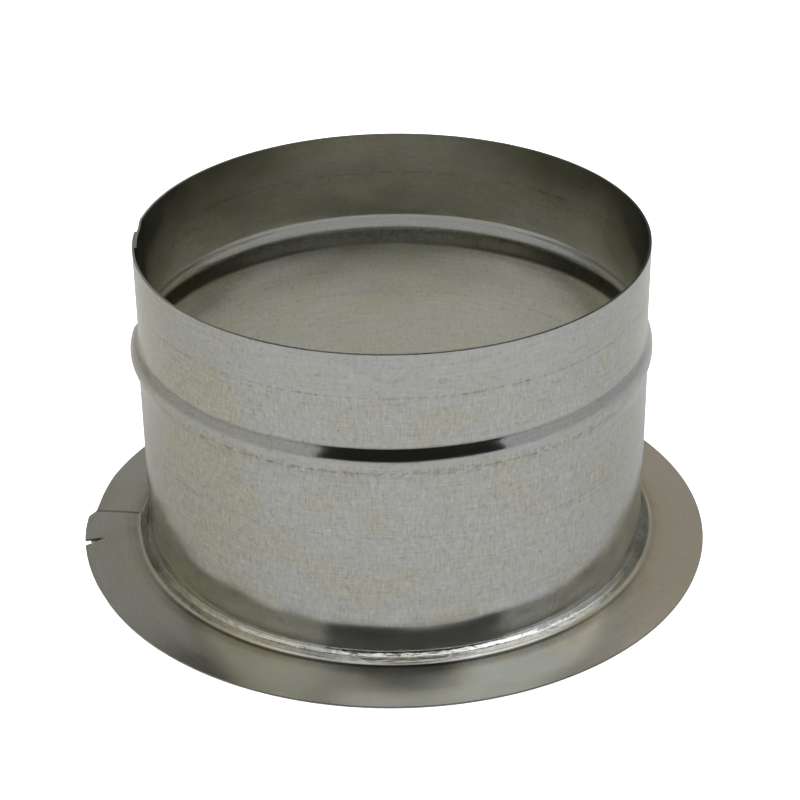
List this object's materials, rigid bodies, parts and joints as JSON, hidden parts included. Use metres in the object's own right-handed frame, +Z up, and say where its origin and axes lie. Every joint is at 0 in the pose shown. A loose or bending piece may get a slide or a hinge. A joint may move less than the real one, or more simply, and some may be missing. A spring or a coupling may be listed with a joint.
{
  "type": "duct connector",
  "caption": "Flanged round duct collar rolled from one strip of galvanised sheet, with a welded lap seam, a stop bead below the open rim and a turned-out flange at the foot",
  "frame": {"origin": "on the tube's axis, at the level of the flange's flat underside", "axes": "+Z runs up the tube from flange to open rim; -X points at the lap seam"},
  "size_m": [0.1582, 0.1574, 0.082],
  "materials": {
    "zinc_sheet": "galvanised, softly reflective"
  },
  "bodies": {
    "root": {"collar": "zinc_sheet"}
  },
  "joints": []
}
